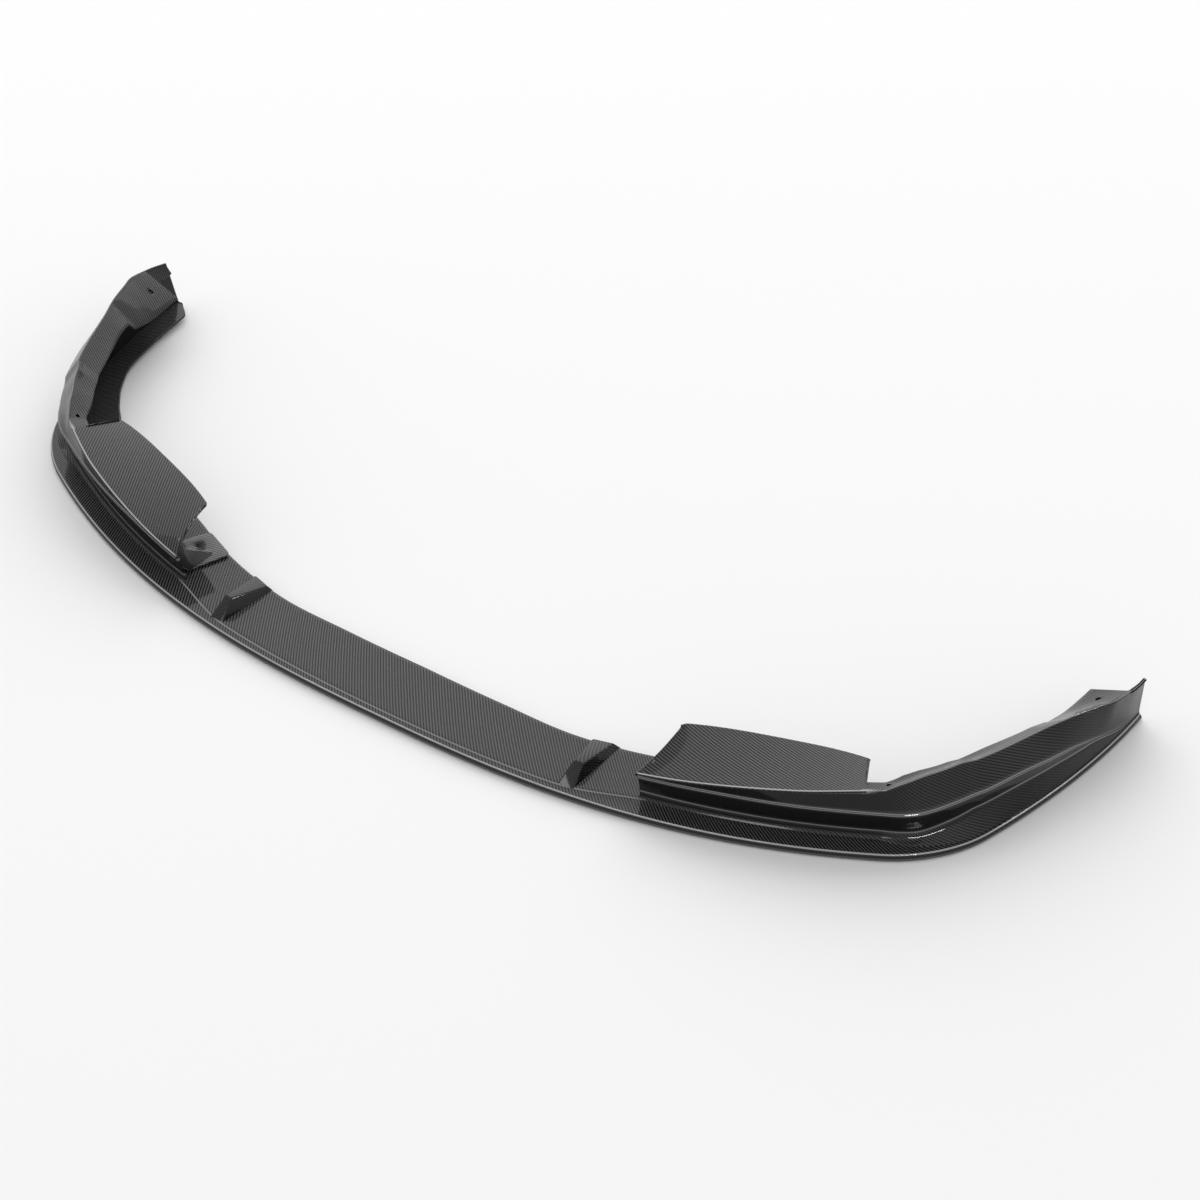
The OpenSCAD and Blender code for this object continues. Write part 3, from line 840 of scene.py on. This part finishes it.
def twill(t, turn):
    """Returns where the warp is on top, how high the tow bulges, and a soft noise, all from the layer
    cloth turned by an angle in degrees and counted in tows."""
    place = t.nodes.new("ShaderNodeMapping")
    place.inputs["Rotation"].default_value = (0, 0, np.radians(turn))
    place.inputs["Scale"].default_value = (1 / TOW, 1 / TOW, 1)
    feed(t, place.inputs[0], layer_of(t, "cloth"))
    a, b, _ = parts_of(t, place.outputs[0])
    step = calc(t, "ADD", calc(t, "FLOOR", a), calc(t, "FLOOR", b))
    over = calc(t, "LESS_THAN", calc(t, "FLOORED_MODULO", step, 4.0), 2.0)
    across = mixed(t, over, calc(t, "FRACT", b), calc(t, "FRACT", a), "FLOAT")
    crown = calc(t, "SINE", calc(t, "MULTIPLY", across, np.pi))
    noise = t.nodes.new("ShaderNodeTexNoise")
    noise.inputs["Scale"].default_value = MOTTLE_SCALE
    noise.inputs["Detail"].default_value = MOTTLE_DETAIL
    feed(t, noise.inputs["Vector"], place.outputs[0])
    return over, crown, noise.outputs["Fac"]


print("tow width", TOW, "m")

# %% [markdown]
# ## Carbon fibre under lacquer
# Fibre is black glass: it shows only where a tow on top catches light, and most on faces that look up,
# because fibres lying flat throw the sky back. True fibre shading needs curved tows under every pixel.
# Here the warp is painted paler instead, a painted sheen that grows with how far the face looks up,
# mottled a little and hidden where the painted highlight is strong. A clear coat covers it all, and its
# smooth normal leaves the weave's bump below it.

# %% carbon
TOW_GAP = (0.0015, 0.0015, 0.0016, 1)
MOTTLE = (0.35, 0.35, 0.36, 1)
MOTTLE_SHARE = 0.6
# Colour that the painted highlights pale the cloth towards.
PAINTED_HIGHLIGHT_TONE = (0.55, 0.55, 0.56, 1)
BLUER = 1.04
# Painted sheen: the share of paleness for faces that look up, and for all faces.
PAINTED_SHEEN_UP, PAINTED_SHEEN_ASIDE = 0.84, 0.16
TOW_ROUND, TOW_FLAT = 0.8, 0.1
WEAVE_BUMP = {"Strength": 0.25, "Distance": 0.0002}
FINISH = {"Roughness": 0.38, "Specular IOR Level": 0.03, "Coat Weight": 0.5, "Coat Roughness": 0.07,
          "Coat IOR": 1.42}


def carbon(name, turn, pale):
    """Tow tone = over (round crown + flat) (painted sheen aside + up max(n z, 0)^2), times mottle, then
    painted highlight.
    """
    mat = bpy.data.materials.new(name)
    t = nodes_of(mat)
    over, crown, noise = twill(t, turn)
    normal = t.nodes.new("ShaderNodeNewGeometry").outputs["Normal"]
    # Painted sheen: faces that look up are painted paler.
    lift = calc(t, "POWER", calc(t, "MAXIMUM", parts_of(t, normal)[2], 0.0), 2.0)
    painted_sheen = calc(t, "ADD", calc(t, "MULTIPLY", lift, PAINTED_SHEEN_UP), PAINTED_SHEEN_ASIDE)
    bulge = calc(t, "ADD", calc(t, "MULTIPLY", crown, TOW_ROUND), TOW_FLAT)
    share = calc(t, "MULTIPLY", calc(t, "MULTIPLY", over, bulge), painted_sheen)
    tone = mixed(t, share, TOW_GAP, (pale, pale, pale * BLUER, 1))
    tone = mixed(t, calc(t, "MULTIPLY", noise, MOTTLE_SHARE), tone, MOTTLE, mode="MULTIPLY")
    # Painted highlight: the mesh's layer mixes the cloth towards a glassy grey.
    tone = mixed(t, parts_of(t, layer_of(t, "bead"))[0], tone, PAINTED_HIGHLIGHT_TONE)
    bump = t.nodes.new("ShaderNodeBump")
    bsdf = t.nodes.new("ShaderNodeBsdfPrincipled")
    for node, values in ((bump, WEAVE_BUMP), (bsdf, FINISH)):
        for socket, value in values.items():
            node.inputs[socket].default_value = value
    feed(t, bump.inputs["Height"], crown)
    feed(t, bsdf.inputs["Base Color"], tone)
    feed(t, bsdf.inputs["Normal"], bump.outputs[0])
    feed(t, bsdf.inputs["Coat Normal"], normal)
    feed(t, t.nodes.new("ShaderNodeOutputMaterial").inputs[0], bsdf.outputs[0])
    return mat


print("finish", FINISH)

# %% [markdown]
# ## Cloth laid panel by panel
# A laminator cuts one piece of cloth for each panel, so the ribs change direction from panel to panel.
# One material for all would miss that. Each piece gets its own, with an angle in LAY and a tone that is
# PALE_ELSE unless its kind has its own. Webs and feet stand in a shelf's shade, so their cloth is painted
# paler against it, as painted light; the fins' is darker.

# %% dress the pieces
LAY = {"blade": 6, "shelf_right": -33, "shelf_left": 20, "wall_right": -13, "wall_left": -22,
       "web_right": 20, "web_left": 20, "foot_right": 10, "foot_left": 10, "fin_right": 5, "fin_left": 5}
# Tones by kind: webs and feet painted paler against the shelf's shade, fins darker.
PAINTED_LIGHT_TONE = {"web": 0.3, "foot": 0.3, "fin": 0.09}
PALE_ELSE = 0.165

for piece in PIECES:
    tone = PAINTED_LIGHT_TONE.get(piece.name.split("_")[0], PALE_ELSE)
    piece.data.materials.clear()
    piece.data.materials.append(carbon("cloth_" + piece.name, LAY[piece.name], tone))
    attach(piece, "root")
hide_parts(NODE)
print("cloth on", len(PIECES), "pieces")

# %% [markdown]
# ## Camera
# A product shot of a long flat part is taken from far away with a long lens, so that it isn't distorted.
# The lens could be guessed and the camera moved by eye. Here its place was solved from pairs of like
# points on the two halves of the lip, and is kept as two angles and a distance from a target.

# %% camera
AZIMUTH = np.radians(34.995)
ELEVATION = np.radians(39.672)
DISTANCE = 5.5359
TARGET = np.array([0.0, 0.2513, -0.1638])
FOCAL, SENSOR = 105.0, 36.0


def aim(obj, where, target):
    """Puts an object somewhere with its -Z axis towards a target."""
    obj.location = Vector(where)
    obj.rotation_euler = (Vector(target) - Vector(where)).to_track_quat("-Z", "Y").to_euler()


cam = bpy.data.objects.new("camera", bpy.data.cameras.new("camera"))
bpy.context.scene.collection.objects.link(cam)
bpy.context.scene.camera = cam
cam.data.lens = FOCAL
cam.data.sensor_width = SENSOR
level = np.array([np.sin(AZIMUTH), -np.cos(AZIMUTH), 0]) * np.cos(ELEVATION)
aim(cam, TARGET + DISTANCE * (level + [0, 0, np.sin(ELEVATION)]), TARGET)
print("camera at", tuple(round(v, 3) for v in cam.location))

# %% [markdown]
# ## Floor
# The lip lies on a wide pale sheet, which keeps its soft shadow. A curved backdrop would do the same, but
# a plane that reaches past the view needs no shape. It lies a hair below the lip, so that the two never
# share a surface.

# %% floor
FLOOR_SIZE = 60000.0
FLOOR_Z = -0.6
FLOOR_TONE = 0.9

corners = np.array([(-1, -1, 0), (1, -1, 0), (1, 1, 0), (-1, 1, 0)]) * FLOOR_SIZE / 2 + [0, 0, FLOOR_Z]
floor = build("floor", corners, np.array([[0, 1, 2, 3]]), corners[:, :2])
matt = bpy.data.materials.new("pale_floor")
ft = nodes_of(matt)
diffuse = ft.nodes.new("ShaderNodeBsdfDiffuse")
diffuse.inputs["Color"].default_value = (FLOOR_TONE, FLOOR_TONE, FLOOR_TONE, 1)
feed(ft, ft.nodes.new("ShaderNodeOutputMaterial").inputs[0], diffuse.outputs[0])
floor.data.materials.append(matt)
print("floor tone", FLOOR_TONE)

# %% [markdown]
# ## Sky
# A pale room lights the lip from all sides. One strength for everything would either grey the background
# or wash out the lip. Light Path tells the rays apart, so camera and mirror rays see the background's
# tone while the light that falls on surfaces stays a little lower.

# %% sky
SKY_LIGHT = 0.76
SKY_SEEN = 0.92

world = bpy.data.worlds.new("studio")
bpy.context.scene.world = world
wt = nodes_of(world)
rays = wt.nodes.new("ShaderNodeLightPath").outputs
mirrored = calc(wt, "MAXIMUM", rays["Is Glossy Ray"], rays["Is Transmission Ray"])
seen = calc(wt, "MAXIMUM", rays["Is Camera Ray"], mirrored)
dome = wt.nodes.new("ShaderNodeBackground")
dome.inputs["Color"].default_value = (1, 1, 1, 1)
strength = calc(wt, "ADD", calc(wt, "MULTIPLY", seen, SKY_SEEN - SKY_LIGHT), SKY_LIGHT)
feed(wt, dome.inputs["Strength"], strength)
feed(wt, wt.nodes.new("ShaderNodeOutputWorld").inputs[0], dome.outputs[0])
print("sky light", SKY_LIGHT, "seen as", SKY_SEEN)

# %% [markdown]
# ## Light panels
# One large panel high behind the lip gives its faces an even sheen and draws the shadow forward. Three
# smaller ones in front, at the corner and beside the wing are there for the highlights on nose, ridge and
# rim. Lighting the cloth with them too would flatten it, so they are seen in gloss only.

# %% light panels
PANELS = (("back_box", (-7.0, 10.0, 10.2), (0.0, 0.0, 0.0), (26.0, 18.0), 1.0, False),
          ("front_box", (-0.9, -4.3, 4.2), (0.0, 0.0, 0.0), (6.0, 1.8), 7.0, True),
          ("corner_box", (3.42, -2.54, 2.1), (0.75, -0.05, 0.03), (1.0, 0.5), 60.0, True),
          ("wing_box", (4.07, 1.8, 2.1), (0.87, 0.0, 0.05), (1.0, 0.5), 60.0, True))


def panel(name, where, target, size, radiance, gloss_only):
    """Rectangular soft light; Cycles spreads its power as 4 x area x radiance. A panel for gloss only is
    seen in the lacquer but leaves the level of light and the shadows alone."""
    data = bpy.data.lights.new(name, "AREA")
    data.shape = "RECTANGLE"
    data.size, data.size_y = size
    data.energy = 4 * size[0] * size[1] * radiance
    obj = bpy.data.objects.new(name, data)
    bpy.context.scene.collection.objects.link(obj)
    aim(obj, where, target)
    obj.visible_diffuse = not gloss_only


for settings in PANELS:
    panel(*settings)
bpy.context.scene.view_settings.view_transform = "Standard"
print("light panels:", [settings[0] for settings in PANELS])
